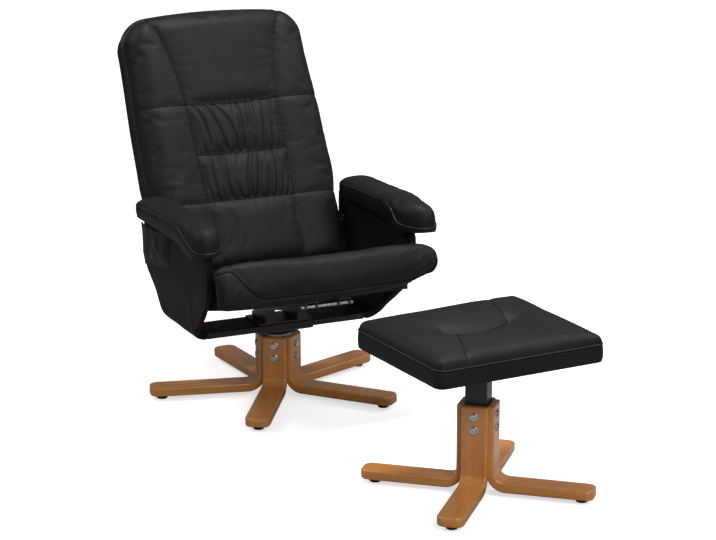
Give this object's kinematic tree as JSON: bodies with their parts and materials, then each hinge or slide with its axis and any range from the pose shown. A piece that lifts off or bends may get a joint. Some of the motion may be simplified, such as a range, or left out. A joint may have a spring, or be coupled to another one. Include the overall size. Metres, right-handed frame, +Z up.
{
  "type": "massage armchair with footstool",
  "caption": "reclining upholstered massage armchair on a swivelling bentwood star base, with a matching free-standing footstool",
  "frame": {"origin": "On the floor, on the chair's swivel axis.", "axes": "+Z up, the chair faces -Y, +X is the sitter's left; the stool stands in front, towards -Y."},
  "size_m": [0.7439, 1.7394, 1.021],
  "materials": {
    "faux_leather": "black faux leather with a satin sheen and a fine grain",
    "bentwood": "laminated bentwood in a glossy honey lacquer",
    "plywood": "raw birch plywood",
    "black_lacquer": "board painted satin black",
    "black_steel": "black powder coat",
    "zinc": "bright zinc plate",
    "bare_steel": "turned steel",
    "glide_plastic": "black moulded plastic",
    "bush_plastic": "natural nylon",
    "motor_plastic": "moulded housing",
    "socket_plastic": "moulded socket"
  },
  "bodies": {
    "base": {"base_column": "black_steel", "base_glides": "glide_plastic", "base_leg_1": "bentwood", "base_leg_2": "bentwood", "base_leg_3": "bentwood", "base_leg_4": "bentwood", "base_leg_5": "bentwood", "base_leg_screws": "zinc", "swivel_bush": "bush_plastic"},
    "chair": {"arm_board_left": "plywood", "arm_board_right": "plywood", "arm_pad_left": "faux_leather", "arm_pad_right": "faux_leather", "back_pivot_left": "zinc", "back_pivot_right": "zinc", "carrier_bracket_left": "black_steel", "carrier_bracket_right": "black_steel", "frame_bolts": "zinc", "hub_plate": "black_steel", "mechanism_plate": "black_steel", "power_socket": "socket_plastic", "seat_carrier_left": "black_steel", "seat_carrier_right": "black_steel", "seat_crossbar": "black_lacquer", "side_panel_bolts": "zinc", "side_panel_left": "faux_leather", "side_panel_right": "faux_leather", "side_pocket": "faux_leather", "swivel_spindle": "black_steel"},
    "seat": {"seat_board": "plywood", "seat_cushion": "faux_leather", "seat_slide_left": "zinc", "seat_slide_right": "zinc", "slide_cross_rod": "zinc"},
    "back": {"back_cushion": "faux_leather", "back_board": "plywood", "back_rear_cover": "faux_leather", "back_bracket_left": "black_steel", "back_bracket_right": "black_steel", "massage_motor_1": "motor_plastic", "massage_motor_2": "motor_plastic", "massage_motor_3": "motor_plastic", "massage_motor_4": "motor_plastic"},
    "stool": {"stool_board": "plywood", "stool_cushion": "faux_leather", "stool_glides": "glide_plastic", "stool_leg_1": "bentwood", "stool_leg_2": "bentwood", "stool_leg_3": "bentwood", "stool_leg_4": "bentwood", "stool_leg_screws": "zinc", "stool_plate": "black_steel", "stool_plate_screws": "zinc", "stool_post": "black_steel"},
    "massage_weight_1": {"massage_weight_1": "bare_steel"},
    "massage_weight_2": {"massage_weight_2": "bare_steel"},
    "massage_weight_3": {"massage_weight_3": "bare_steel"},
    "massage_weight_4": {"massage_weight_4": "bare_steel"}
  },
  "joints": [
    {"name": "swivel", "type": "hinge", "parent": "base", "child": "chair", "pos_m": [0, 0, 0.18], "axis": [0, 0, 1], "continuous": true},
    {"name": "back_recline", "type": "hinge", "parent": "chair", "child": "back", "pos_m": [0, 0.19356, 0.42107], "axis": [-1, 0, 0], "range_deg": [-10, 20]},
    {"name": "seat_slide", "type": "slide", "parent": "chair", "child": "seat", "axis": [0, -0.9659, 0.2588], "range_m": [-0.0212, 0.0422]},
    {"name": "stool_slide", "type": "slide", "parent": "base", "child": "stool", "axis": [0, -1, 0], "range_m": [0, 0.3]},
    {"name": "massage_spin_1", "type": "hinge", "parent": "back", "child": "massage_weight_1", "pos_m": [-0.092, 0.33472, 0.67896], "axis": [1, 0, 0], "continuous": true},
    {"name": "massage_spin_2", "type": "hinge", "parent": "back", "child": "massage_weight_2", "pos_m": [0.092, 0.33472, 0.67896], "axis": [1, 0, 0], "continuous": true},
    {"name": "massage_spin_3", "type": "hinge", "parent": "back", "child": "massage_weight_3", "pos_m": [-0.096, 0.26028, 0.54187], "axis": [1, 0, 0], "continuous": true},
    {"name": "massage_spin_4", "type": "hinge", "parent": "back", "child": "massage_weight_4", "pos_m": [0.096, 0.26028, 0.54187], "axis": [1, 0, 0], "continuous": true}
  ],
  "couplings": [
    {"joint": "seat_slide", "follows": "back_recline", "m_per_rad": 0.12}
  ]
}
